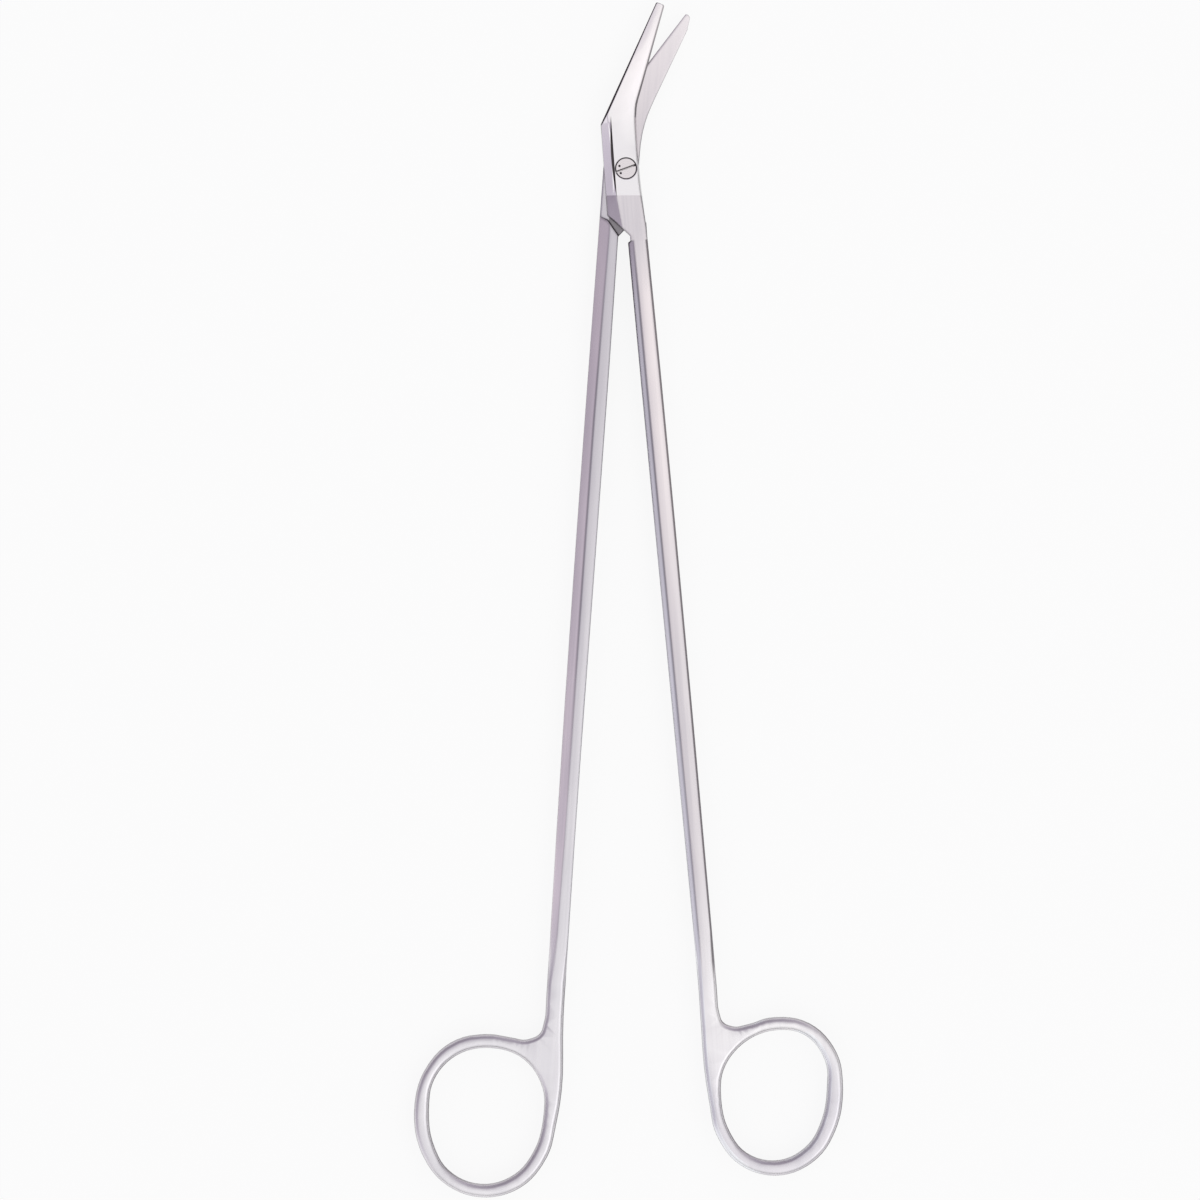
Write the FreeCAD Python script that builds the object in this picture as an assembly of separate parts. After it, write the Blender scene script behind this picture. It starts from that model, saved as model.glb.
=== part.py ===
import FreeCAD, Part
import math
import os

# Angled vascular scissors: two forged and ground steel halves crossed at a lap
# joint and held by one slotted screw. The origin is on the screw's axis, in the
# plane that the closed joint lies on. +Y points to the tips, +Z up to the screw's
# head. Every outline is drawn for the shut pair, and each half is then turned by
# its share of the opening. Lengths are in millimetres, angles in degrees.

V = FreeCAD.Vector
UP = V(0, 0, 1)
AHEAD = V(0, 1, 0)

# Opening, as drawn
opening = 8.3
upper_share = opening / 2
lower_share = -opening / 2

# Heights
joint_height = 4.4
lap_gap = 0.04
shank_height_1 = 3.75
shank_height_2 = 3.45
shank_height_3 = 3.2
ring_height = 3.1

# Stations along the handles, measured from the screw
shank_root = -7.5
shank_start = -14.0
shank_y_1 = -60.0
shank_y_2 = -110.0
shank_end = -158.0
neck_length = 10.0
stub_length = 2.0

# Shanks: inner edge and width at the stations from shank_start to shank_end.
# The lower half's are written as seen from below, where it lies as the upper does.
upper_inner = [-0.64, 0.30, 1.48, 2.35, 2.50]
upper_width = [3.79, 4.01, 3.80, 3.54, 3.53]
lower_inner = [0.55, 0.43, 0.50, 0.34, 0.24]
lower_width = [3.84, 4.03, 3.79, 3.55, 3.56]

# Ground bevels of the shanks: width across the face, and drop
inner_bevel = 1.05
inner_bevel_end = 0.9
inner_bevel_drop = 0.8
outer_bevel = 2.05
outer_bevel_mid = 1.8
outer_bevel_end = 1.35
outer_bevel_drop = 1.1
edge_break = 0.4
small_break = 0.18
crown_at_start = 0.01
crown = 0.07
ring_round = 1.15

# Joint plates, with points down their right sides
plate_left = -4.28
plate_lean = 0.25
upper_side = [(2.64, -4.0), (2.52, 5.0)]
lower_plate_left = -4.37
lower_side = [(2.32, -9.75), (2.47, -2.0), (2.52, 5.4), (3.36, 10.4)]
inner_corner_y = -13.1
notch_x = -0.17
notch_y = -12.98
notch_slant = 0.3
upper_flank_y = -8.8
elbow_round = 0.9
flank_round = 0.4
corner_reach = 0.75

# Shoulders, where a half goes from full height down to its lap
lower_shoulder = [(-9.0, -7.57), (-2.83, -10.36), (-0.74, -12.95), (3.0, -17.71)]
upper_shoulder = [(-4.2, -18.7), (-0.6, -14.1), (1.49, -11.44), (9.0, -8.0)]
shoulder_draft = 0.12

# Upper blade: where its back and its cutting edge start, and their angles from +Y
upper_back_foot = (-4.13, 9.1)
upper_back_angle = 28.6
upper_edge_foot = (3.30, 13.1)
upper_edge_angle = 19.7
upper_tip = (8.90, 31.38)
upper_tip_angle = 24.0

# Lower blade, its cutting edge on the other side
lower_edge_foot = (-4.38, 9.75)
lower_edge_angle = 33.3
lower_back_foot = (4.63, 14.08)
lower_back_angle = 21.2
lower_tip = (9.79, 30.5)
lower_tip_angle = 27.0

tip_corner = 0.3
tip_round = 0.45
nose_radius = 0.72
nose_spread = 72.0
nose_flank = 2.0
back_lean = 0.42
edge_lean = 0.5

# Crown of the blades at four stations: place along and across, thickness, radius
crown_y = [2.0, 11.0, 21.0, 33.0]
upper_crown_x = [-0.9, -1.9, 3.3, 9.6]
lower_crown_x = [-0.9, 2.4, 6.5, 11.1]
blade_thickness = [2.25, 2.1, 1.6, 0.85]
crown_radius = [300.0, 16.0, 7.0, 4.0]
crown_share = 0.9
crown_half_most = 14.0

# Bevel down the upper plate's outer side, and the grinding wheel's cut in it
band_x = -2.26
band_low_x = -1.45
band_low_y = -12.0
band_bend_y = -5.3
band_top_y = 8.9
band_fade = 3.2
fade_share = 0.05
band_drop = 1.0
wheel_radius = 70.0
wheel_depth = 0.42
wheel_wall = 0.7
wheel_y = 2.2

# Finger rings: centre, measured from the shank's end, hole radius at each twelfth of a
# turn from +X, and the band's width round from the inner side of the stub to the neck
upper_ring_centre = (15.7, -22.4)
upper_hole = [10.08, 11.73, 12.95, 12.38, 11.6, 10.99, 10.36, 11.02, 12.44, 12.63, 11.54, 10.21]
upper_band = [2.42, 2.62, 2.64, 2.92, 3.17, 3.23, 3.14, 2.74, 2.41, 2.52]
upper_neck = [(11.53, -8.43), (8.72, -8.66), (6.68, -7.52), (6.18, -5.8)]
lower_ring_centre = (-13.8, -26.2)
lower_hole = [11.1, 12.19, 13.09, 13.05, 12.87, 12.07, 10.99, 11.42, 12.79, 13.32, 12.71, 11.51]
lower_band = [2.70, 2.82, 2.77, 2.52, 2.48, 2.80, 2.86, 2.52, 2.70, 2.61]
lower_neck = [(-10.19, -10.87), (-6.85, -11.03), (-4.42, -9.55), (-3.92, -7.7)]

# Pivot screw
head_radius = 2.0
head_depth = 1.1
seat_gap = 0.03
head_clear = 0.02
screw_radius = 1.25
running_gap = 0.03
rim_break = 0.12
slot_width = 0.42
slot_depth = 0.55
slot_angle = 20.0
stake_radius = 0.26
stake_depth = 0.2
stake_places = [(-1.27, 0.46), (-1.02, -0.93)]

lap = joint_height / 2
lap_above = lap + lap_gap / 2
lap_below = lap - lap_gap / 2
shank_y = [shank_start, shank_y_1, shank_y_2, shank_end + neck_length, shank_end]
shank_height = [joint_height, shank_height_1, shank_height_2, shank_height_3, ring_height]
inner_bevels = [inner_bevel, inner_bevel, inner_bevel, inner_bevel_end]
outer_bevels = [outer_bevel, outer_bevel_mid, outer_bevel_mid, outer_bevel_end]
crowns = [crown_at_start, crown, crown, crown]

# How far the cutting shapes run past what they cut, and the limits under which two
# heights count as the same and an arc as straight
BEYOND = 60.0
PAST = 1.0
SAME = 0.01
STRAIGHT = 0.001

# A ring's rims are rounded by three flats, which turn a quarter in four equal steps
FLAT_TURN = math.pi / 8


def heading(angle):
    """Unit vector at an angle measured from +Y towards +X."""
    return V(math.sin(math.radians(angle)), math.cos(math.radians(angle)), 0)


def cross_point(p, angle_p, q, angle_q):
    """Where the line through p at one angle meets the line through q at another."""
    d = heading(angle_p)
    e = heading(angle_q)
    gap = V(q[0] - p[0], q[1] - p[1], 0)
    along = (gap.x * e.y - gap.y * e.x) / (d.x * e.y - d.y * e.x)
    return V(p[0], p[1], 0) + d * along


def shifted(p, angle, inset):
    """A point moved square to a line at the given angle, to the line's right."""
    d = heading(angle)
    return V(p[0] + d.y * inset, p[1] - d.x * inset, 0)


def spline(points, start, end):
    """A smooth edge through the points with the given end directions."""
    curve = Part.BSplineCurve()
    curve.interpolate(Points=points, InitialTangent=start, FinalTangent=end)
    return curve.toShape()


def arc_along(p, way, q):
    """An arc from p to q that starts off along the given way."""
    chord = q - p
    side = V(-chord.y, chord.x, 0)
    turn = math.atan2(way.dot(side), way.dot(chord))
    if abs(turn) < STRAIGHT:
        return line(p, q)
    return Part.Arc(p, p + chord / 2 + side * (math.tan(turn / 2) / 2), q).toShape()


def way_through(a, b, c):
    """The way at b of the circle through three points."""
    way = (b - a) / (b - a).Length ** 2 + (c - b) / (c - b).Length ** 2
    return way.normalize()


def arc_chain(points, ways):
    """Two arcs from each point to the next, all tangent where they meet."""
    edges = []
    for p, q, way_p, way_q in zip(points, points[1:], ways, ways[1:]):
        span = q - p
        both = span.dot(way_p + way_q)
        turned = 2 * (1 - way_p.dot(way_q))
        if turned < STRAIGHT ** 2:
            reach = span.Length / 2
        else:
            reach = (math.sqrt(both ** 2 + turned * span.dot(span)) - both) / turned
        middle = (p + q + (way_p - way_q) * reach) / 2
        edges.append(arc_along(p, way_p, middle))
        edges.append(arc_along(q, way_q * -1, middle))
    return edges


def line(a, b):
    return Part.LineSegment(a, b).toShape()


def polygon(points):
    return Part.makePolygon(points + points[:1])


def prism(wire, z_low, z_high):
    face = Part.Face(wire)
    face.translate(V(0, 0, z_low))
    return face.extrude(UP * (z_high - z_low))


def at_height(wire, z):
    moved = wire.copy()
    moved.translate(V(0, 0, z))
    return moved


def upright_edges(shape, x, y):
    """The edges that stand near (x, y), upright or leaning."""
    found = []
    for edge in shape.Edges:
        a = edge.Vertexes[0].Point
        b = edge.Vertexes[-1].Point
        near = max(math.hypot(p.x - x, p.y - y) for p in (a, b))
        if near < corner_reach and abs(a.z - b.z) > SAME:
            found.append(edge)
    return found


# Joint plates and blades, in plan. The outer faces are drawn in from the lap's
# outline by the lean of the back, the cutting edge and the plate's sides.

def upper_blade(back_in, edge_in, side_in):
    """Where the back starts, where the edge starts, and the tip's two corners."""
    back = shifted(upper_back_foot, upper_back_angle, back_in)
    edge = shifted(upper_edge_foot, upper_edge_angle, -edge_in)
    tip = V(upper_tip[0], upper_tip[1], 0) - heading(upper_tip_angle) * side_in
    tip_left = cross_point(tip, upper_tip_angle + 90, back, upper_back_angle)
    tip_right = cross_point(tip, upper_tip_angle + 90, edge, upper_edge_angle)
    return back, edge, tip_left, tip_right


def upper_outline(back_in, edge_in, side_in):
    back, edge, tip_left, tip_right = upper_blade(back_in, edge_in, side_in)
    left = plate_left + side_in
    side = [V(upper_inner[0] + upper_width[0], shank_start, 0)]
    side += [V(x - side_in, y, 0) for x, y in upper_side] + [edge]
    corners = [tip_right, tip_left, cross_point((left, 0), 0, back, upper_back_angle)]
    corners += [V(left, upper_flank_y, 0), V(notch_x, notch_y, 0)]
    corners += [V(notch_x, shank_start, 0), side[0]]
    edges = [spline(side, AHEAD, heading(upper_edge_angle)), line(edge, tip_right)]
    edges += [line(a, b) for a, b in zip(corners, corners[1:])]
    return Part.Wire(edges)


def lower_outline(back_in, edge_in, side_in):
    edge = shifted(lower_edge_foot, lower_edge_angle, edge_in)
    back = shifted(lower_back_foot, lower_back_angle, -back_in)
    tip = V(lower_tip[0], lower_tip[1], 0)
    tip_left = cross_point(tip, lower_tip_angle + 90, edge, lower_edge_angle)
    tip_right = cross_point(tip, lower_tip_angle + 90, back, lower_back_angle)
    left = lower_plate_left + side_in
    shank_in = -lower_inner[0]
    side = [V(x - side_in, y, 0) for x, y in lower_side] + [back]
    corners = [tip_right, tip_left, cross_point((left, 0), 0, edge, lower_edge_angle)]
    corners += [V(left, shank_root, 0), V(lower_plate_left, shank_start, 0)]
    corners += [V(shank_in, shank_start, 0), V(shank_in, inner_corner_y, 0), side[0]]
    edges = [spline(side, AHEAD, heading(lower_back_angle)), line(back, tip_right)]
    edges += [line(a, b) for a, b in zip(corners, corners[1:])]
    return Part.Wire(edges)


def leaning_plate(outline, flat_z, outer_z):
    """Blade and joint plate: full outline at the lap, drawn in at the outer face."""
    full = at_height(outline(0, 0, 0), flat_z)
    drawn_in = at_height(outline(back_lean, edge_lean, plate_lean), outer_z)
    wires = [full, drawn_in] if flat_z < outer_z else [drawn_in, full]
    return Part.makeLoft(wires, True, True)


def rounded_corners(plate, places):
    """Round a plate's standing corners, given as (point, radius)."""
    for point, radius in places:
        edges = upright_edges(plate, point.x, point.y)
        plate = plate.makeFillet(radius, edges)
    return plate


def nose_cutter(tip, angle):
    """What lies beyond a rounded nose that points along the given angle."""
    ahead = heading(angle)
    aside = V(ahead.y, -ahead.x, 0)
    front = V(tip[0], tip[1], 0)
    turn = math.radians(nose_spread)

    def place(side):
        along = nose_radius * (math.cos(turn) - 1)
        return front + ahead * along + aside * (side * nose_radius * math.sin(turn))

    def flank(side, length):
        return place(side) + (aside * (side * math.cos(turn)) - ahead * math.sin(turn)) * length

    arc = Part.Arc(place(-1), front, place(1)).toShape()
    right = flank(1, nose_flank)
    left = flank(-1, nose_flank)
    points = [place(1), right, right + aside, right + aside + ahead * 3 * nose_flank]
    points += [left - aside + ahead * 3 * nose_flank, left - aside, left, place(-1)]
    sides = [line(a, b) for a, b in zip(points, points[1:])]
    return prism(Part.Wire([arc] + sides), -PAST, joint_height)


def crown_cutter(crown_x, flat_z, sense):
    """What is ground off a blade's outer face, from the plate down to the tip."""
    sections = []
    for y, x, thick, radius in zip(crown_y, crown_x, blade_thickness, crown_radius):
        half = min(crown_share * radius, crown_half_most)
        drop = radius - math.sqrt(radius ** 2 - half ** 2)
        top = flat_z + sense * thick
        ends = [V(x - half, y, top - sense * drop), V(x + half, y, top - sense * drop)]
        far_z = flat_z + sense * BEYOND
        arc = Part.Arc(ends[0], V(x, y, top), ends[1]).toShape()
        sides = [ends[1], V(x + half, y, far_z), V(x - half, y, far_z), ends[0]]
        sections.append(Part.Wire([arc] + [line(a, b) for a, b in zip(sides, sides[1:])]))
    return Part.makeLoft(sections, True, False)


def lap_cutter(front, lap_z, outer_z):
    """What is cleared beyond a shoulder; the wall leans, with its foot forward."""
    def outline(z, forward):
        points = [V(x, y + forward, 0) for x, y in front]
        points += [V(BEYOND, front[-1][1], 0), V(BEYOND, BEYOND, 0)]
        points += [V(-BEYOND, BEYOND, 0), V(-BEYOND, front[0][1], 0)]
        return at_height(polygon(points), z)

    wires = [outline(lap_z, shoulder_draft), outline(outer_z, 0)]
    if lap_z > outer_z:
        wires.reverse()
    return Part.makeLoft(wires, True, True)


# Shanks. A section runs round from the inner bevel over the face, down the outer
# side and back along the other face. The outer bevel is on that other face.

def section_wire(runs, turns):
    """Four sides, flat or arched, with the points between them joined by flats."""
    edges = []
    for run, turn, after in zip(runs, turns, runs[1:] + runs[:1]):
        edges.append(line(*run) if len(run) == 2 else Part.Arc(*run).toShape())
        points = [run[-1]] + turn + [after[0]]
        edges += [line(a, b) for a, b in zip(points, points[1:])]
    return Part.Wire(edges)


def shank_section(y, inner, outer, height, bevels, flats):
    """A section of the shank, each of its bevels in the given number of flats."""
    low = lap - height / 2
    high = lap + height / 2
    inner_wide, outer_wide, arch = bevels

    def arched(start, end, z, rise):
        return [V(start, y, z - rise), V((start + end) / 2, y, z), V(end, y, z - rise)]

    face = arched(inner + inner_wide, outer - edge_break, high, arch)
    back = arched(outer - outer_wide, inner + small_break, low, -arch)
    side = [V(outer, y, high - edge_break), V(outer, y, low + outer_bevel_drop)]
    inside = [V(inner, y, low + small_break), V(inner, y, high - inner_bevel_drop)]
    runs = [face, side, back, inside]
    turns = []
    for run, after in zip(runs, runs[1:] + runs[:1]):
        step = (after[0] - run[-1]) / flats
        turns.append([run[-1] + step * i for i in range(1, flats)])
    return section_wire(runs, turns)


def stub_section(y, inner, outer):
    """The section where the shank meets the ring, its corners rounded as the rims are."""
    low = lap - ring_height / 2
    high = lap + ring_height / 2
    reach = ring_round / math.cos(FLAT_TURN / 2)
    corners = []
    for i, (x, z) in enumerate([(outer, high), (outer, low), (inner, low), (inner, high)]):
        middle_x = x - math.copysign(ring_round, x - (inner + outer) / 2)
        middle_z = z - math.copysign(ring_round, z - lap)
        turns = [(i * 4 + step + 0.5) * FLAT_TURN for step in range(4)]
        if outer < inner:
            turns = [-turn for turn in turns]
        corners.append([
            V(middle_x + reach * math.sin(turn), y, middle_z + reach * math.cos(turn))
            for turn in turns
        ])
    runs = [[a[-1], b[0]] for a, b in zip(corners[-1:] + corners, corners)]
    return section_wire(runs, [corner[1:-1] for corner in corners])


def shank(inner, width):
    """A shank from inside the joint to the ring's stub, outer side towards +X."""
    def section(i, flats=1):
        bevels = (inner_bevels[i], outer_bevels[i], crowns[i])
        return shank_section(shank_y[i], inner[i], inner[i] + width[i], shank_height[i],
                             bevels, flats)

    root = section(0)
    root.translate(V(0, shank_root - shank_start, 0))
    head = Part.makeLoft([root, section(0)], True, True)
    body = Part.makeLoft([section(i) for i in range(4)], True, False)
    end = stub_section(shank_end, inner[4], inner[4] + width[4])
    return head, body, Part.makeLoft([section(3, 3), end], True, True)


# Finger rings

def ring(centre, hole, first, turn, band, neck, inner_x, outer_x):
    """A ring with its neck and a short stub of the shank.

    The band's widths start at the hole radius with the number first, and go on round
    the way that turn says, 1 or -1.
    """
    def place(i, radius):
        angle = 2 * math.pi * i / len(hole)
        return V(centre[0] + radius * math.cos(angle),
                 shank_end + centre[1] + radius * math.sin(angle), 0)

    stub_y = shank_end - stub_length
    rim = [V(inner_x, stub_y, 0)]
    for step, wide in enumerate(band):
        i = (first + turn * step) % len(hole)
        rim.append(place(i, hole[i] + wide))
    rim += [V(x, shank_end + y, 0) for x, y in neck]
    rim.append(V(outer_x, stub_y, 0))
    top = [V(outer_x, shank_end, 0), V(inner_x, shank_end, 0)]
    ways = [way_through(a, b, c) for a, b, c in zip(rim, rim[1:], rim[2:])]
    edges = arc_chain(rim, [-AHEAD] + ways + [AHEAD]) + [line(rim[-1], top[0])]
    edges += [line(top[0], top[1]), line(top[1], rim[0])]
    low = lap - ring_height / 2
    body = prism(Part.Wire(edges), low, low + ring_height)

    inside = [place(i, radius) for i, radius in enumerate(hole)]
    before = inside[-1:] + inside
    after = inside[1:] + inside[:1]
    ways = [way_through(a, b, c) for a, b, c in zip(before, inside, after)]
    opening_wire = Part.Wire(arc_chain(inside + inside[:1], ways + ways[:1]))
    body = body.cut(prism(opening_wire, low - PAST, low + ring_height + PAST))

    # The first cut leaves the middle flat, and the second takes off its two corners
    first_cut = ring_round * (2 - math.sqrt(2))
    second_cut = ring_round * (1 - math.tan(FLAT_TURN / 2)) - first_cut
    for cut in (first_cut, second_cut):
        rims = []
        for edge in body.Edges:
            box = edge.BoundBox
            flat = box.ZLength < SAME
            if flat and box.YMax < shank_end + SAME and box.YMin < shank_end - SAME:
                rims.append(edge)
        body = body.makeChamfer(cut, rims)
    return body


def turned_over(shape):
    """The same piece turned over about the pair's long axis."""
    copy = shape.copy()
    copy.rotate(V(0, 0, lap), V(0, 1, 0), 180)
    return copy


def box_between(y0, y1, z0, z1):
    return Part.makeBox(2 * BEYOND, y1 - y0, z1 - z0, V(-BEYOND, y0, z0))


def one_solid(shape):
    cleaned = shape.removeSplitter()
    return cleaned.Solids[0] if len(cleaned.Solids) == 1 else cleaned


# Upper half

def upper_band_cutter():
    def section(y, ridge, share):
        out = plate_left - PAST
        drop = band_drop * share * (ridge - out) / (ridge - plate_left)
        points = [V(ridge, y, joint_height), V(ridge, y, joint_height + PAST)]
        points += [V(out, y, joint_height + PAST), V(out, y, joint_height - drop)]
        return polygon(points)

    sections = [section(band_low_y, band_low_x, 1), section(band_bend_y, band_x, 1)]
    sections += [section(band_top_y, band_x, 1)]
    sections.append(section(band_top_y + band_fade, band_x, fade_share))
    return Part.makeLoft(sections, True, True)


def wheel_cutter():
    """A grinding wheel sunk a little into the band, its edge chamfered."""
    slope = math.atan2(band_drop, band_x - plate_left)
    along = V(math.cos(slope), 0, math.sin(slope))
    inward = V(math.sin(slope), 0, -math.cos(slope))
    ridge = V(band_x, wheel_y, joint_height)
    centre = ridge - inward * (wheel_radius - wheel_depth)

    def at(axial, radial):
        return centre + along * axial + inward * radial

    width = 2 * (band_x - plate_left)
    inside = wheel_radius - width
    corners = [at(0.0, inside), at(0.0, wheel_radius - wheel_depth)]
    corners += [at(-wheel_wall, wheel_radius), at(-width, wheel_radius)]
    corners.append(at(-width, inside))
    face = Part.Face(polygon(corners))
    return face.revolve(centre, along, 360)


def build_upper():
    plate = leaning_plate(upper_outline, lap_above, joint_height)
    tip_left, tip_right = upper_blade(0, 0, 0)[2:]
    elbow = cross_point((plate_left, 0), 0, upper_back_foot, upper_back_angle)
    plate = rounded_corners(plate, [
        (elbow, elbow_round),
        (V(plate_left, upper_flank_y, 0), flank_round),
        (tip_left, tip_corner),
        (tip_right, tip_round),
    ])
    plate = plate.cut(crown_cutter(upper_crown_x, lap_above, 1))
    plate = plate.cut(upper_band_cutter())
    plate = plate.cut(wheel_cutter())
    head, body, neck = shank(upper_inner, upper_width)
    head = head.cut(lap_cutter(upper_shoulder, lap_above, -PAST))
    head = head.cut(box_between(shank_start, 0, lap_above, BEYOND))
    finger_ring = ring(upper_ring_centre, upper_hole, 6, 1, upper_band, upper_neck,
                       upper_inner[4], upper_inner[4] + upper_width[4])
    slant = [V(notch_x, notch_y, 0), V(notch_x, shank_start, 0)]
    slant += [V(upper_inner[0], shank_start - notch_slant, 0), V(upper_inner[0], notch_y, 0)]
    slant = prism(polygon(slant), -PAST, joint_height + PAST)
    half = plate.fuse([head, body, neck, finger_ring]).cut(slant)
    floor = V(0, 0, joint_height - head_depth - head_clear)
    seat = Part.makeCylinder(head_radius + seat_gap, BEYOND, floor)
    bore = Part.makeCylinder(screw_radius + running_gap, BEYOND)
    rim = head_radius + seat_gap + rim_break
    mouth = Part.makeCone(rim - PAST, rim + PAST, 2 * PAST, V(0, 0, joint_height - PAST))
    half = one_solid(half.cut([seat, bore, mouth]))
    half.rotate(V(0, 0, 0), UP, upper_share)
    return half


def build_lower():
    plate = leaning_plate(lower_outline, lap_below, 0.0)
    elbow = cross_point((lower_plate_left, 0), 0, lower_edge_foot, lower_edge_angle)
    plate = rounded_corners(plate, [(elbow, elbow_round)])
    plate = plate.cut(nose_cutter(lower_tip, lower_tip_angle))
    plate = plate.cut(crown_cutter(lower_crown_x, lap_below, -1))
    head, body, neck = [turned_over(s) for s in shank(lower_inner, lower_width)]
    head = head.cut(lap_cutter(lower_shoulder, lap_below, joint_height + PAST))
    head = head.cut(box_between(shank_start, 0, -BEYOND, lap_below))
    inner_x = -lower_inner[4]
    finger_ring = ring(lower_ring_centre, lower_hole, 0, -1, lower_band, lower_neck,
                       inner_x, inner_x - lower_width[4])
    half = plate.fuse([head, body, neck, finger_ring])
    bore = Part.makeCylinder(screw_radius, joint_height)
    half = one_solid(half.cut(bore))
    half.rotate(V(0, 0, 0), UP, lower_share)
    return half


def top_rim(shape, z):
    return [e for e in shape.Edges if e.BoundBox.ZMin > z - SAME]


def build_screw():
    head = Part.makeCylinder(head_radius, head_depth, V(0, 0, joint_height - head_depth))
    head = head.makeChamfer(rim_break, top_rim(head, joint_height))
    stem = Part.makeCylinder(screw_radius, joint_height, V(0, 0, 0))
    screw = head.fuse(stem)
    half = slot_width / 2
    slot = box_between(-half, half, joint_height - slot_depth, BEYOND)
    slot.rotate(V(0, 0, 0), UP, slot_angle)
    screw = screw.cut(slot)
    for x, y in stake_places:
        dent = Part.makeCone(0, stake_radius, stake_depth, V(x, y, joint_height - stake_depth))
        screw = screw.cut(dent)
    return one_solid(screw)


os.makedirs("parts", exist_ok=True)
for name, shape in (
    ("upper_half", build_upper()),
    ("lower_half", build_lower()),
    ("pivot_screw", build_screw()),
):
    print(name, len(shape.Solids), shape.isValid(), round(shape.Volume, 2))
    shape.exportStep("parts/" + name + ".step")
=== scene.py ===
import math

import bmesh
import bpy
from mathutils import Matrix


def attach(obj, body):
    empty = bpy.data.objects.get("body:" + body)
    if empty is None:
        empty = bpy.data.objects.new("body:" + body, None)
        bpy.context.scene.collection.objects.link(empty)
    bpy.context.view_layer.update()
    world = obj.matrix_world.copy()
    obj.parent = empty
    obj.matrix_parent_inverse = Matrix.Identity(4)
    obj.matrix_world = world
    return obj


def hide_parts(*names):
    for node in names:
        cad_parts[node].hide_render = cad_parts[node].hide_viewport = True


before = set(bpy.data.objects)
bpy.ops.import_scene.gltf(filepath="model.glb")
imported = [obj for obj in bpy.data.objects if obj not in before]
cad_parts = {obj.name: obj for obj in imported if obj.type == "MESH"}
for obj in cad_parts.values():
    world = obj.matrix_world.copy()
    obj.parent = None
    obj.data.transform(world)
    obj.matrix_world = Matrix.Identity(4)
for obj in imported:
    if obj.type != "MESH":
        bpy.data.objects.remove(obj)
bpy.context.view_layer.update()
scene = bpy.context.scene
scene.view_settings.view_transform = "Standard"


# Camera: a long lens straight above the tray, with the tips at the top of the picture.
# The picture is 231.7 mm wide, and its middle lies between the shanks, 83 mm below the
# screw. The height is measured from the lap, half-way up the joint.
MM = 0.001
SENSOR_WIDTH = 36.0
PICTURE_WIDTH = 231.7 * MM
PICTURE_MIDDLE = (-5.02 * MM, -83.24 * MM)
LAP_HEIGHT = 2.2 * MM
CAMERA_ABOVE_LAP = 1600 * MM

camera = bpy.data.objects.new("camera", bpy.data.cameras.new("camera"))
camera.data.sensor_width = SENSOR_WIDTH
camera.data.lens = SENSOR_WIDTH * CAMERA_ABOVE_LAP / PICTURE_WIDTH
camera.data.clip_end = 10.0
camera.location = (*PICTURE_MIDDLE, LAP_HEIGHT + CAMERA_ABOVE_LAP)
scene.collection.objects.link(camera)
scene.camera = camera


# Upper half: one forging of martensitic stainless steel with its blade, joint plate,
# shank and finger ring. It is ground to shape, satin all over, and then polished on the
# blade and on the joint's face.
RIDGE_ROUND = 0.7 * MM
EDGE_ROUND = 0.22 * MM
BRUSH_DEPTH = 0.03 * MM
SATIN_ROUGH = (0.22, 0.31)
POLISHED_ROUGH = 0.17
WELD = 0.002 * MM
RING_TOP = -150 * MM
SHARP_ON_RING = math.radians(26)
SHARP = math.radians(9)


def linear(hex_colour):
    """sRGB hex to linear RGBA."""
    parts = [int(hex_colour[i:i + 2], 16) / 255 for i in (1, 3, 5)]
    parts = [c / 12.92 if c <= 0.04045 else ((c + 0.055) / 1.055) ** 2.4 for c in parts]
    return (*parts, 1.0)


def add_node(tree, kind, inputs=None, out=0, **settings):
    """Adds one shader node and gives one of its outputs.

    An input given as a socket is linked, and anything else is set.
    """
    made = tree.nodes.new("ShaderNode" + kind)
    for name, value in settings.items():
        setattr(made, name, value)
    for name, value in (inputs or {}).items():
        if isinstance(value, bpy.types.NodeSocket):
            tree.links.new(value, made.inputs[name])
        else:
            made.inputs[name].default_value = value
    return made.outputs[out]


def fade(tree, value, *points):
    """Runs straight from point to point, each given as a value and what it becomes."""
    total = None
    for (start, before), (end, after) in zip(points, points[1:]):
        if total is None:
            total = add_node(tree, "MapRange", {0: value, 1: start, 2: end, 3: before, 4: after})
        elif after != before:
            rise = {0: value, 1: start, 2: end, 3: 0, 4: after - before}
            total = add_node(tree, "Math", {0: total, 1: add_node(tree, "MapRange", rise)},
                             operation="ADD")
    return total


def along(tree, place, axis, *points):
    """Fades along an axis, with the points' places in mm from the screw's foot."""
    where = add_node(tree, "SeparateXYZ", {0: place}, out=axis)
    return fade(tree, where, *((mm * MM, result) for mm, result in points))


def across(tree, place, x, y, angle):
    """How far a point lies to the left of a line through (x, y), in mm.

    The line runs along the given angle, measured from +X.
    """
    left = (-math.sin(math.radians(angle)), math.cos(math.radians(angle)), 0)
    reach = add_node(tree, "VectorMath", {0: place, 1: left}, out="Value",
                     operation="DOT_PRODUCT")
    start = x * left[0] + y * left[1]
    return add_node(tree, "Math", {0: reach, 1: 1 / MM, 2: -start}, operation="MULTIPLY_ADD")


def all_of(tree, mask, *others):
    """Where all the masks hold."""
    for other in others:
        mask = add_node(tree, "Math", {0: mask, 1: other}, operation="MULTIPLY")
    return mask


def any_of(tree, mask, *others):
    """Where any of the masks holds."""
    for other in others:
        mask = add_node(tree, "Math", {0: mask, 1: other}, operation="MAXIMUM")
    return mask


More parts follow.
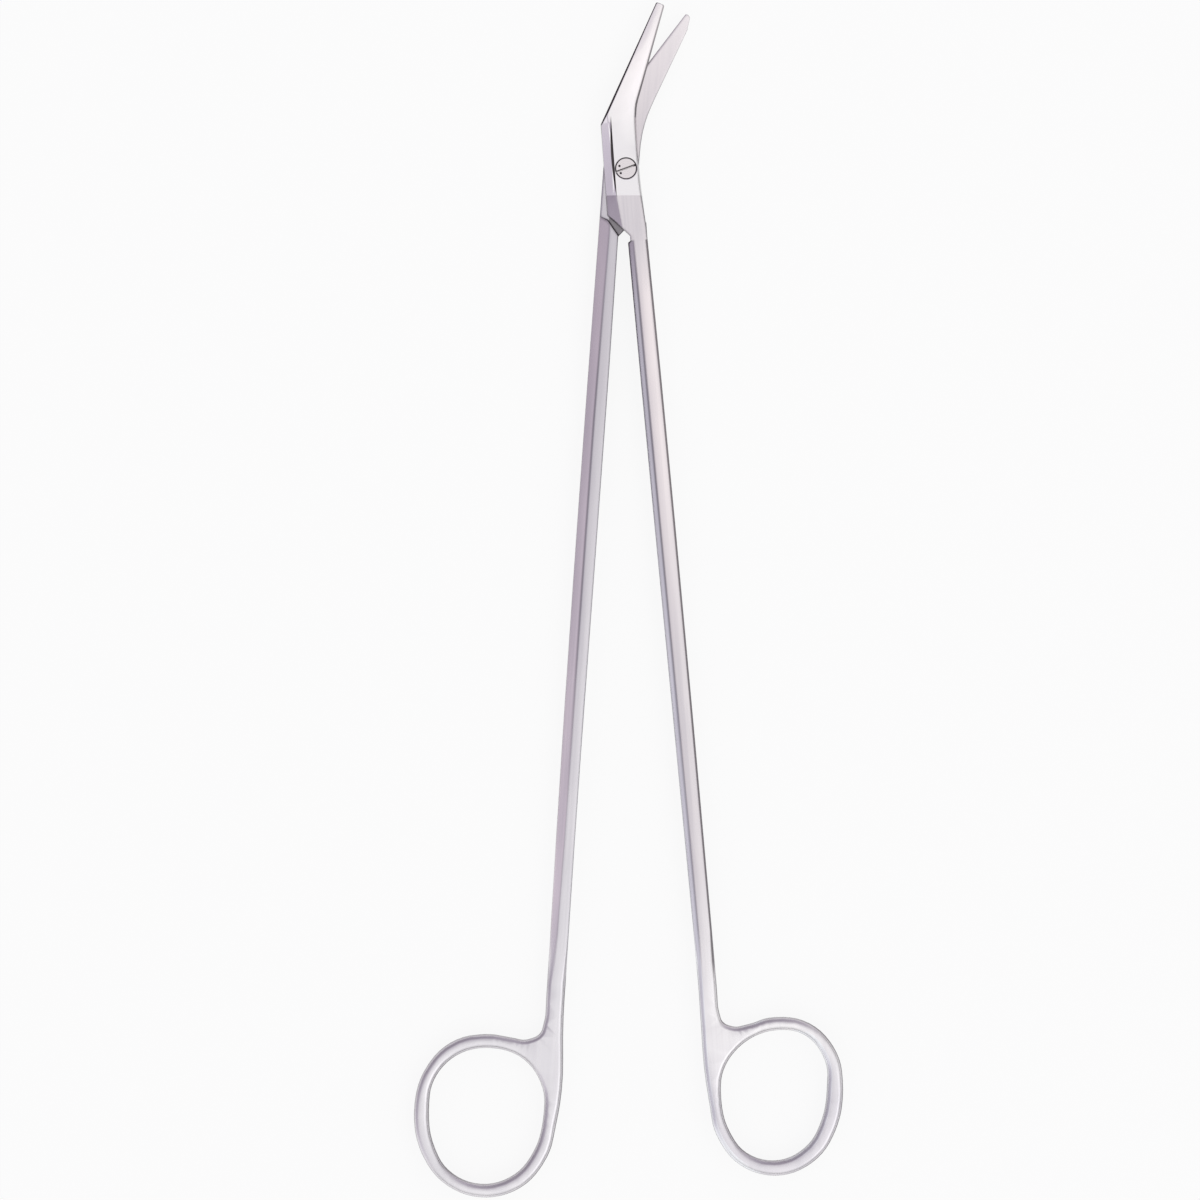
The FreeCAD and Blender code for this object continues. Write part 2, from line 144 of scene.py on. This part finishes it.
def layered(tree, face, *layers):
    """Lays colours over a face, each where its mask holds. A colour is hex or a socket."""
    for mask, colour in layers:
        under, over = (linear(c) if isinstance(c, str) else c for c in (face, colour))
        face = add_node(tree, "Mix", {0: mask, 6: under, 7: over}, out=2, data_type="RGBA")
    return face


def leaning(tree):
    """How level a face lies, from 0 for upright to 1, and how far it faces to the right."""
    normal = add_node(tree, "NewGeometry", out="True Normal")
    upright = add_node(tree, "SeparateXYZ", {0: normal}, out="Z")
    return (add_node(tree, "Math", {0: upright}, operation="ABSOLUTE"),
            add_node(tree, "SeparateXYZ", {0: normal}, out="X"))


def grain(tree, place, angle, wide, long):
    """Noise drawn out along the shank, with the width and length of its patches in mm."""
    turned = add_node(tree, "Mapping", {0: place, 2: (0, 0, math.radians(angle)),
                                        3: (wide * MM, long * MM, wide * MM)},
                      vector_type="TEXTURE")
    return add_node(tree, "TexNoise", {0: turned, "Scale": 1.0, "Detail": 2.0})


def painted_edge_shade(tree, place, on_shank, on_ring, polish, ridge, fine, edge_shade):
    """Masks for painted shade: soft dark lines along the ground edges, and dark steep sides.

    Ridge and fine are the directions of the surface as if its edges were broadly and
    finely rounded. Where they leave the face's own, there is an edge.
    """
    own = add_node(tree, "NewGeometry", out="True Normal")
    turned = add_node(tree, "VectorMath", {0: ridge, 1: own}, out="Value",
                      operation="DOT_PRODUCT")
    satin = add_node(tree, "Math", {0: on_shank, 1: polish}, operation="SUBTRACT")
    line = all_of(tree, fade(tree, turned, (0.975, 0.3), (0.999, 0)), satin)
    kept = add_node(tree, "VectorMath", {0: fine, 1: own}, out="Value", operation="DOT_PRODUCT")
    thin = all_of(tree, fade(tree, kept, (0.95, 0.4), (0.997, 0)), on_shank)

    # Painted shade on the edges on the right, broader on the joint's plate
    rightward = add_node(tree, "SeparateXYZ", {0: fine}, out="X")
    right_edge_shade = all_of(tree, fade(tree, rightward, (0.35, 0), (0.6, 1)), on_shank)
    rightward = add_node(tree, "SeparateXYZ", {0: ridge}, out="X")
    on_plate = along(tree, place, "Y", (-18, 0), (-14, 1), (2, 1), (12, 0.4))
    wide_edge = all_of(tree, fade(tree, rightward, (0.3, 0), (0.6, 1)), on_plate)
    right_edge_shade = all_of(tree, any_of(tree, right_edge_shade, wide_edge), edge_shade)

    # Painted shade on steep sides, and on the rings' slopes that face right
    level = leaning(tree)[0]
    painted_side_shade = fade(tree, level, (0.15, 0.75), (0.5, 0))
    smooth = add_node(tree, "NewGeometry", out="Normal")
    rightward = add_node(tree, "SeparateXYZ", {0: smooth}, out="X")
    painted_right_slope_shade = all_of(tree, fade(tree, rightward, (-0.05, 0), (0.6, 1)),
                        fade(tree, level, (0.45, 0.8), (0.75, 0)), on_ring)
    towards_tip = along(tree, place, "Y", (16, 1), (29, 0.4))
    painted_side_shade = all_of(tree, any_of(tree, painted_side_shade, painted_right_slope_shade, right_edge_shade), towards_tip)
    return any_of(tree, line, thin), painted_side_shade


def stainless_steel(name, lie, tinted, polished, painted_shade, edge_shade):
    """Ground martensitic steel, its grain along the shank, which lies at the given angle.

    To the eye it is a pale, faintly mauve grey with soft streaks along the shank, with
    painted shade along its edges and sides, and almost white where it is polished. The
    three functions give the satin faces' colour, and masks for where the steel is polished
    and where shade is painted dark in hollows and on walls. The edges on the right get
    painted shade by the share.
    """
    steel = bpy.data.materials.new(name)
    steel.use_nodes = True
    tree = steel.node_tree
    place = add_node(tree, "TexCoord", out="Object")
    on_shank = along(tree, place, "Y", (-157, 0), (-153, 1))
    on_ring = along(tree, place, "Y", (-157, 1), (-153, 0))
    polish = polished(tree, place)
    clouds = grain(tree, place, lie, 5, 25)
    streaks = grain(tree, place, lie, 0.7, 45)
    # Brushing, drawn 0.3 mm wide so that it shows
    brushing = grain(tree, place, lie, 0.3, 8)

    # Broadly rounded satin faces, and a flatter polished one whose crown leans less
    height = add_node(tree, "Mix", {0: 0.5, 2: brushing, 3: streaks})
    ridge = add_node(tree, "Bevel", {"Radius": RIDGE_ROUND}, samples=8)
    fine = add_node(tree, "Bevel", {"Radius": EDGE_ROUND}, samples=8)
    broad = add_node(tree, "Bump", {"Strength": 0.12, "Distance": BRUSH_DEPTH,
                                    "Height": height, "Normal": ridge})
    above_elbow = fade(tree, across(tree, place, -4.8, 8.5, 12), (-0.1, 0), (0.2, 0.5))
    crown = add_node(tree, "Mix", {0: all_of(tree, polish, above_elbow), 4: fine,
                                   5: (0.05, -0.03, 1.0)}, out=1, data_type="VECTOR")
    normal = add_node(tree, "Mix", {0: any_of(tree, polish, on_ring), 4: broad, 5: crown},
                      out=1, data_type="VECTOR")
    normal = add_node(tree, "VectorMath", {0: normal}, operation="NORMALIZE")
    line, painted_side_shade = painted_edge_shade(tree, place, on_shank, on_ring, polish, ridge, fine, edge_shade)

    # The rings' slopes that face up the shank get painted shade, and the rings have fewer streaks
    smooth = add_node(tree, "NewGeometry", out="Normal")
    painted_uphill_shade = add_node(tree, "VectorMath", {0: smooth, 1: (-0.3, 0.9, 0)}, out="Value",
                      operation="DOT_PRODUCT")
    painted_uphill_shade = all_of(tree, fade(tree, painted_uphill_shade, (0.0, 0), (0.34, 0.45)), on_ring)
    streaked = all_of(tree, fade(tree, streaks, (0.45, 0), (0.7, 0.18)),
                      along(tree, place, "Y", (-157, 0.5), (-153, 1)))
    # Polished faces that tilt are painted whiter, as painted light
    tilt_painted_lighter = fade(tree, leaning(tree)[0], (0.95, 1), (0.98, 0))
    on_blade = along(tree, place, "Y", (5, 0), (20, 1))
    shiny = layered(tree, "#f4f1f3", (tilt_painted_lighter, "#fffaff"), (on_blade, "#f9f3f5"))
    # Over the face: grain, painted shade on uphill slopes, the polish, and painted shade along
    # edges, sides and hollows
    face = layered(tree, tinted(tree, place),
                   (fade(tree, clouds, (0.35, 0.16), (0.6, 0)), "#a9a7b4"),
                   (streaked, "#b4afba"),
                   (painted_uphill_shade, "#978d99"),
                   (polish, shiny),
                   (line, "#77717c"),
                   (painted_side_shade, "#574f55"),
                   (painted_shade(tree, place), "#3a3437"))
    rough = fade(tree, clouds, (0.3, SATIN_ROUGH[0]), (0.7, SATIN_ROUGH[1]))
    rough = add_node(tree, "Mix", {0: polish, 2: rough, 3: POLISHED_ROUGH})
    shader = tree.nodes["Principled BSDF"]
    shader.inputs["Metallic"].default_value = 1.0
    tree.links.new(face, shader.inputs["Base Color"])
    tree.links.new(rough, shader.inputs["Roughness"])
    tree.links.new(normal, shader.inputs["Normal"])
    return steel


def cad_faces(form):
    """Numbers the faces by the surface of the CAD solid that they are part of."""
    number = form.faces.layers.int.new("cad_face")
    surfaces = 0
    for first in form.faces:
        if first[number]:
            continue
        surfaces += 1
        first[number] = surfaces
        waiting = [first]
        while waiting:
            for vertex in waiting.pop().verts:
                for face in vertex.link_faces:
                    if not face[number]:
                        face[number] = surfaces
                        waiting.append(face)
    return number


def ground_copy(node, material):
    """A welded copy of a CAD node, smooth except across its ground edges.

    The three flats of a ring's rim are run into one round, so the rings keep only the
    edges that are sharper than the 22.5 degrees between two flats.
    """
    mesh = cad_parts[node].data.copy()
    mesh.name = node + "_steel"
    form = bmesh.new()
    form.from_mesh(mesh)
    number = cad_faces(form)
    bmesh.ops.remove_doubles(form, verts=form.verts, dist=WELD)
    for face in form.faces:
        face.smooth = True
    for edge in form.edges:
        sharp = SHARP_ON_RING if edge.verts[0].co.y < RING_TOP else SHARP
        meeting = len({face[number] for face in edge.link_faces}) > 1
        edge.smooth = not (meeting and edge.calc_face_angle(0.0) > sharp)
    form.to_mesh(mesh)
    form.free()
    mesh.materials.clear()
    mesh.materials.append(material)
    piece = bpy.data.objects.new(node + "_steel", mesh)
    scene.collection.objects.link(piece)
    weighted = piece.modifiers.new("flat faces stay flat", "WEIGHTED_NORMAL")
    weighted.keep_sharp = True
    weighted.weight = 100
    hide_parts(node)
    return piece


def painted_ridge_shade(tree, place, face, beyond, strength):
    """Paints shade on a shank along its ridge, softly beside it, and along its outer edge.

    The distance beyond the ridge, in mm, is negative on the flat top.
    """
    strength = all_of(tree, strength, along(tree, place, "Z", (2.0, 0), (2.4, 1)))
    beside = fade(tree, beyond, (-1.6, 0), (-0.2, 0.4), (0, 0.4), (0.1, 0), (0.5, 0), (2.0, 0.5))
    line = fade(tree, beyond, (-0.3, 0), (-0.05, 1), (0.1, 1), (0.35, 0))
    return layered(tree, face, (all_of(tree, beside, strength), "#a39ca8"),
                   (all_of(tree, line, strength), "#68636f"))


def upper_tint(tree, place):
    # Warm and light on the shank's upper end, greyer between, and neutral on the ring
    light = along(tree, place, "Y", (-95, 0), (-50, 1), (-24, 1), (-12, 0))
    by_ring = along(tree, place, "Y", (-160, 1), (-135, 0))
    web = along(tree, place, "Y", (-180, 0.2), (-168, 1))
    ring = layered(tree, "#e3dfe5", (web, "#f5f2f4"))
    # The left-facing bevel gets painted light and shade: bluish, lighter towards the ring, and
    # darker by the joint
    level, facing_right = leaning(tree)
    bevel = all_of(tree, fade(tree, facing_right, (-0.25, 1), (-0.15, 0)),
                   fade(tree, level, (0.96, 1), (0.98, 0)))
    painted_bevel_lighting = layered(tree, "#e8e7ec",
                    (along(tree, place, "Y", (-100, 1), (-26, 0)), "#fafbff"),
                    (along(tree, place, "Y", (-26, 0), (-14, 1)), "#cbc2cb"))
    face = layered(tree, "#e6e0e3", (light, "#f8eff0"), (by_ring, ring), (bevel, painted_bevel_lighting))
    strength = all_of(tree, along(tree, place, "Y", (-154, 0), (-146, 1)),
                      along(tree, place, "Y", (-150, 0.3), (-60, 0.65), (-24, 0.65), (-12, 0)))
    return painted_ridge_shade(tree, place, face, across(tree, place, 1.42, -13.93, 95.36), strength)


def upper_polish(tree, place):
    # Polished on the tips' side of a line 5.2 mm below the screw
    return fade(tree, across(tree, place, 0, -5.2, 0), (-0.1, 0), (0.1, 1))


def upper_painted_shade(tree, place):
    # Painted shade over the wall that the wheel left along the ridge, 0.5 mm wide beside the
    # screw and running out 7.7 mm to each side
    ridge = across(tree, place, -2.2, -0.16, 94.15)
    share = add_node(tree, "Math", {0: across(tree, place, -2.4, 2.2, 4.15), 1: 7.7},
                     operation="DIVIDE")
    squared = add_node(tree, "Math", {0: share, 1: share}, operation="MULTIPLY")
    wall = add_node(tree, "Math", {0: squared, 1: -0.5, 2: 0.5}, operation="MULTIPLY_ADD")
    short_of_wall = add_node(tree, "Math", {0: wall, 1: ridge}, operation="SUBTRACT")
    wall_shade = all_of(tree, fade(tree, ridge, (-0.06, 0), (0.0, 1)),
                 fade(tree, short_of_wall, (-0.03, 0), (0.03, 1)),
                 along(tree, place, "Z", (3.0, 0), (3.2, 1)))
    # Painted shade in the seat round the screw's head, a dark ring, darker to the upper right
    level = add_node(tree, "VectorMath", {0: place, 1: (1, 1, 0)}, operation="MULTIPLY")
    from_axis = add_node(tree, "VectorMath", {0: level}, out="Value", operation="LENGTH")
    seat_shade = all_of(tree, fade(tree, from_axis, (2.12 * MM, 1), (2.16 * MM, 0)),
                  fade(tree, across(tree, place, 0, 0, -40), (-1.5, 0.3), (1.5, 0.75)))
    # Painted shade on the back of the blade, which faces away from the edge
    back = all_of(tree, fade(tree, across(tree, place, -3.5, 9.3, 65.5), (0, 0), (0.25, 0.95)),
                  fade(tree, leaning(tree)[0], (0.4, 1), (0.6, 0)))
    return any_of(tree, wall_shade, seat_shade, back)


upper_steel = stainless_steel("ground_stainless_upper", 4.5, upper_tint, upper_polish,
                              upper_painted_shade, 0.75)
upper = ground_copy("upper_half", upper_steel)
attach(upper, "upper")


# Lower half: the same forging turned over, crossing under the first at the lap. Its shank
# starts at a sloping shoulder, and only its blade is polished.
def lower_tint(tree, place):
    # Greyest at the shoulder, and lighter towards the ring and on the blade
    towards_ring = along(tree, place, "Y", (-160, 1), (-30, 0))
    # The left-facing bevel is painted lighter and pinker, most towards the ring: painted light
    painted_bevel_lighting = layered(tree, "#ebdfe6", (along(tree, place, "Y", (-110, 1), (-30, 0)), "#fff5f9"))
    bevel = all_of(tree, fade(tree, leaning(tree)[1], (-0.25, 1), (-0.15, 0)),
                   along(tree, place, "Y", (-155, 0), (-140, 1)))
    shank = layered(tree, "#d3ced4", (towards_ring, "#e6e3e7"), (bevel, painted_bevel_lighting))
    # The ridge bends a little 35 mm below the shoulder, so it is two lines
    beyond = any_of(tree, across(tree, place, -3.35, -13.8, 85.34),
                    across(tree, place, -6.21, -48.9, 85.92))
    strength = along(tree, place, "Y", (-125, 0), (-85, 0.65), (-40, 0.65), (-12, 0.195))
    shank = painted_ridge_shade(tree, place, shank, beyond, strength)
    return layered(tree, shank, (along(tree, place, "Y", (0, 0), (3, 1)), "#e4dcdf"))


def lower_polish(tree, place):
    # Only the blade is polished, and more so towards its tip
    return along(tree, place, "Y", (8, 0.1), (31, 0.8))


def lower_painted_shade(tree, place):
    # Painted shade on the lap's floor in the corner under the shoulder
    return all_of(tree, along(tree, place, "Z", (2.3, 1), (2.4, 0)),
                  fade(tree, across(tree, place, -3.3, -10.0, 88), (-0.1, 1), (0.1, 0)),
                  fade(tree, across(tree, place, 0, -6.0, 180), (-0.2, 0), (0.2, 1)),
                  fade(tree, across(tree, place, -1.5, -12.0, 130), (0, 0.62), (2.0, 0.92)))


lower_steel = stainless_steel("ground_stainless_lower", -3.9, lower_tint, lower_polish,
                              lower_painted_shade, 0.15)
lower = ground_copy("lower_half", lower_steel)
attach(lower, "lower")


# Pivot screw: turned from stainless bar, slotted, and ground flush with the joint's face
# once it is set, with two punch marks that lock it. It looks pale, with faint rings.
SLOT_ANGLE = 20
HALF_SLOT = 0.27

screw_steel = bpy.data.materials.new("turned_stainless")
screw_steel.use_nodes = True
tree = screw_steel.node_tree
place = add_node(tree, "TexCoord", out="Object")
# Facing marks of the lathe, rings 0.35 mm apart, drawn coarser so that they show
rings = add_node(tree, "TexWave", {0: place, "Scale": 900.0, "Distortion": 1.0}, out=1,
                 wave_type="RINGS", rings_direction="Z")
# The slot, the punch marks and the rim get painted shade below the ground top, at 4.4 mm.
# The slot's painted shade is darkest along its upper wall and at the end by the plate's edge.
depth = along(tree, place, "Z", (4.33, 1), (4.395, 0))
upper_wall = fade(tree, across(tree, place, 0, 0, SLOT_ANGLE), (-0.06, 0.25), (0.06, 0.9))
far_end = fade(tree, across(tree, place, 0, 0, SLOT_ANGLE - 90), (1.2, 0), (1.7, 1))
slot = all_of(tree, fade(tree, across(tree, place, 0, HALF_SLOT, SLOT_ANGLE), (-0.04, 1), (0, 0)),
              fade(tree, across(tree, place, 0, -HALF_SLOT, SLOT_ANGLE), (0, 0), (0.04, 1)))
outside = add_node(tree, "Math", {0: 1.0, 1: slot}, operation="SUBTRACT")
shade = all_of(tree, depth, any_of(tree, outside, upper_wall, far_end))
face = layered(tree, "#e6dfe1", (rings, "#ece7e8"), (shade, "#332d30"))
shader = tree.nodes["Principled BSDF"]
shader.inputs["Metallic"].default_value = 1.0
tree.links.new(face, shader.inputs["Base Color"])
tree.links.new(fade(tree, rings, (0, 0.22), (1, 0.3)), shader.inputs["Roughness"])
screw = ground_copy("pivot_screw", screw_steel)
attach(screw, "lower")


# Tray: a plain matt white sheet that the pair lies on. It shows white, and keeps the
# shadow. It lies just under the joint's plate.
TRAY_REACH = 3.0
TRAY_TOP = -0.05 * MM

mesh = bpy.data.meshes.new("tray")
corners = [(x * TRAY_REACH, y * TRAY_REACH, TRAY_TOP)
           for x, y in ((-1, -1), (1, -1), (1, 1), (-1, 1))]
mesh.from_pydata(corners, [], [(0, 1, 2, 3)])
tray = bpy.data.objects.new("tray", mesh)
scene.collection.objects.link(tray)
sheet = bpy.data.materials.new("white_sheet")
sheet.use_nodes = True
tree = sheet.node_tree
tree.nodes.remove(tree.nodes["Principled BSDF"])
matt = add_node(tree, "BsdfDiffuse", {"Color": linear("#f4f4f4")})
glow = add_node(tree, "Emission", {"Color": (1, 1, 1, 1), "Strength": 1.0})
seen = any_of(tree, *(add_node(tree, "LightPath", out="Is %s Ray" % kind)
                      for kind in ("Camera", "Glossy", "Transmission")))
mixed = add_node(tree, "MixShader", {0: all_of(tree, seen, 0.88), 1: matt, 2: glow})
tree.links.new(mixed, tree.nodes["Material Output"].inputs["Surface"])
mesh.materials.append(sheet)


# Light: a tent, bright to the lower right of the picture and mauve and darker to the
# upper left and down by the table, with one soft lamp on the bright side.
world = bpy.data.worlds.new("tent")
scene.world = world
world.use_nodes = True
tree = world.node_tree
way = add_node(tree, "TexCoord", out="Generated")
right = add_node(tree, "VectorMath", {0: way, 1: (0.66, -0.75, 0)}, out="Value",
                 operation="DOT_PRODUCT")
up = add_node(tree, "SeparateXYZ", {0: way}, out="Z")
# From the dark upper left to the bright lower right
overhead = fade(tree, right, (-0.85, 0.46), (-0.4, 0.65), (0.0, 0.96), (0.3, 1.1))
# Low on the left the tent is a little lighter again, and low on the right it is dark
low_left = fade(tree, up, (0.15, 1.25), (0.6, 1.0))
low_right = fade(tree, up, (0.05, 0.342), (0.35, 0.76), (0.4, 0.76), (0.95, 1.0))
low = add_node(tree, "Mix", {0: fade(tree, right, (-0.2, 0), (0.1, 1)), 2: low_left,
                             3: low_right})
tone = layered(tree, "#f5effb", (fade(tree, right, (-0.5, 0), (0.0, 1)), "#ffffff"))
to_camera = add_node(tree, "LightPath", out="Is Camera Ray")
shown = add_node(tree, "Mix", {0: to_camera, 2: all_of(tree, overhead, low), 3: 1.0})
back = tree.nodes["Background"]
tree.links.new(tone, back.inputs["Color"])
tree.links.new(shown, back.inputs["Strength"])

LAMP_SIDE = 0.6
lamp = bpy.data.lights.new("soft_lamp", "AREA")
lamp.shape = "RECTANGLE"
lamp.size = LAMP_SIDE
lamp.size_y = LAMP_SIDE
lamp.energy = 0.4
soft_lamp = bpy.data.objects.new("soft_lamp", lamp)
soft_lamp.location = (0.6, -0.5, 0.8)
soft_lamp.rotation_euler = (math.radians(28), math.radians(36), 0)
scene.collection.objects.link(soft_lamp)
